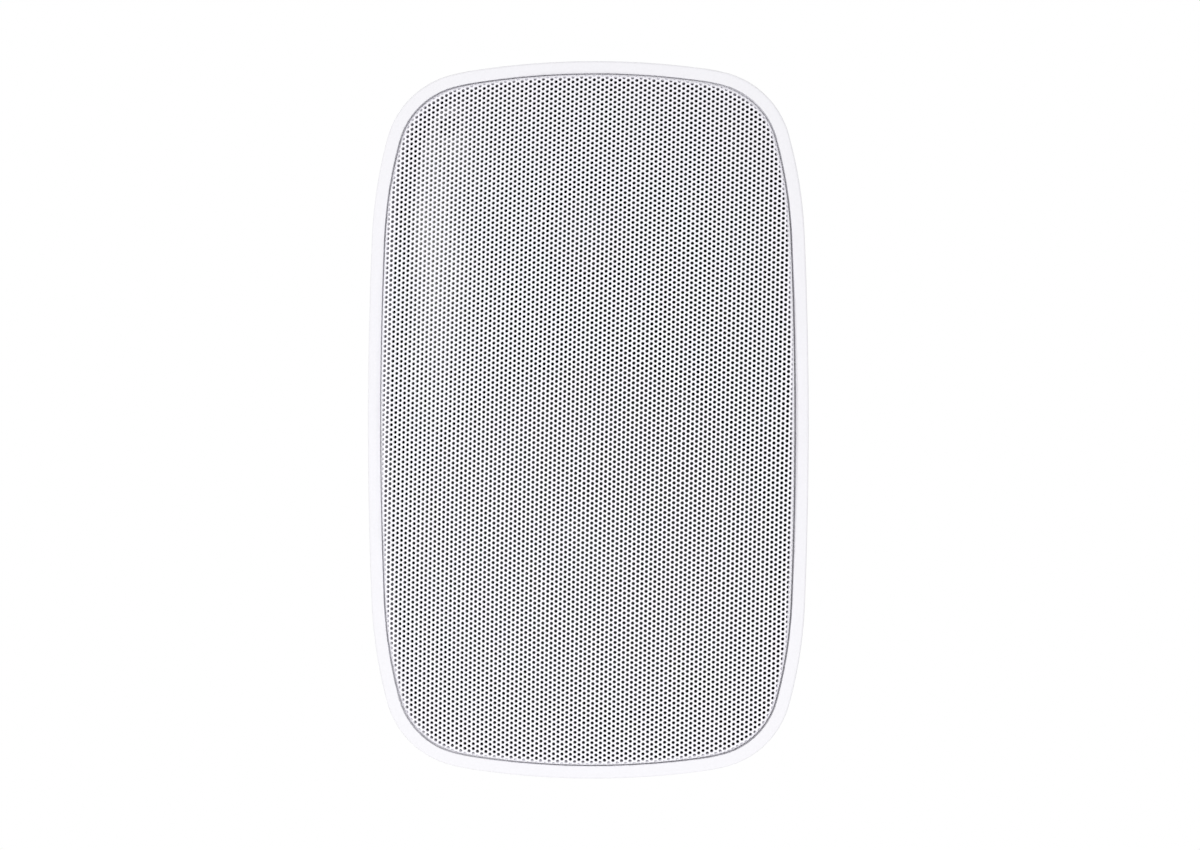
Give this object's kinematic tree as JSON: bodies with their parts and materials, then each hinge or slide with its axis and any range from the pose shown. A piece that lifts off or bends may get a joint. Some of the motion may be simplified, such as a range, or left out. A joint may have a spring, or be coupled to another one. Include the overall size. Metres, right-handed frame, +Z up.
{
  "type": "outdoor patio speaker",
  "caption": "Wall-hung two-way outdoor speaker: tapered white cabinet, dished perforated grille, woofer and dome tweeter behind it, recessed push terminals in the back.",
  "frame": {"origin": "on the flat back, midway between the two threaded bracket inserts", "axes": "+X to the right seen from the front, +Y out of the back, +Z up; the grille faces -Y"},
  "size_m": [0.1798, 0.168, 0.2918],
  "materials": {
    "cabinet_white": "satin moulded white, weatherproof",
    "grille_white": "white powder coat on perforated sheet",
    "baffle_black": "semi-gloss moulded black",
    "foam": "closed-cell foam",
    "black_screw": "black coated steel",
    "bright_screw": "zinc plated",
    "brass": "plain turned brass",
    "basket_steel": "black painted pressed steel",
    "motor_steel": "plain steel",
    "ferrite": "sintered ferrite",
    "surround_rubber": "matt black rubber",
    "cone_plastic": "dark moulded polypropylene",
    "former_film": "amber film",
    "copper": "enamelled copper wire",
    "spider_cloth": "treated woven cloth",
    "dome_silk": "coated black silk",
    "terminal_black": "moulded black",
    "lever_red": "moulded red",
    "lever_black": "moulded black",
    "board_green": "glass-fibre board",
    "capacitor": "sleeved film capacitor"
  },
  "bodies": {
    "cabinet": {"cabinet_shell": "cabinet_white", "grille": "grille_white", "front_baffle": "baffle_black", "tweeter_faceplate": "baffle_black", "baffle_gasket": "foam", "woofer_gasket": "foam", "terminal_gasket": "foam", "baffle_screws": "black_screw", "terminal_screws": "black_screw", "woofer_screws": "bright_screw", "tweeter_screws": "bright_screw", "crossover_screws": "bright_screw", "rear_inserts": "brass", "yoke_inserts": "brass", "terminal_contacts": "brass", "woofer_basket": "basket_steel", "woofer_top_plate": "motor_steel", "woofer_yoke": "motor_steel", "tweeter_pole_plate": "motor_steel", "tweeter_cup": "motor_steel", "terminal_pivot_pin": "motor_steel", "woofer_magnet": "ferrite", "tweeter_magnet": "ferrite", "woofer_surround": "surround_rubber", "tweeter_surround": "surround_rubber", "crossover_coils": "copper", "woofer_spider": "spider_cloth", "terminal_cup": "terminal_black", "crossover_board": "board_green", "crossover_capacitors": "capacitor"},
    "cone": {"woofer_cone": "cone_plastic", "woofer_dust_cap": "cone_plastic", "woofer_former": "former_film", "woofer_winding": "copper"},
    "dome": {"tweeter_dome": "dome_silk", "tweeter_voice_coil": "copper"},
    "lever_red": {"terminal_lever_red": "lever_red"},
    "lever_black": {"terminal_lever_black": "lever_black"}
  },
  "joints": [
    {"name": "woofer_travel", "type": "slide", "parent": "cabinet", "child": "cone", "axis": [0, -1, 0], "range_m": [-0.004, 0.004], "stiffness_N_per_m": 1000, "deforming": ["woofer_surround", "woofer_spider"]},
    {"name": "tweeter_travel", "type": "slide", "parent": "cabinet", "child": "dome", "axis": [0, -1, 0], "range_m": [-0.0004, 0.0004], "stiffness_N_per_m": 2000, "deforming": ["tweeter_surround"]},
    {"name": "lever_red_press", "type": "hinge", "parent": "cabinet", "child": "lever_red", "pos_m": [0, -0.0115, -0.0785], "axis": [1, 0, 0], "range_deg": [0, 15], "stiffness_Nm_per_rad": 0.05, "springref_deg": -17.19},
    {"name": "lever_black_press", "type": "hinge", "parent": "cabinet", "child": "lever_black", "pos_m": [0, -0.0115, -0.0785], "axis": [1, 0, 0], "range_deg": [0, 15], "stiffness_Nm_per_rad": 0.05, "springref_deg": -17.19}
  ]
}
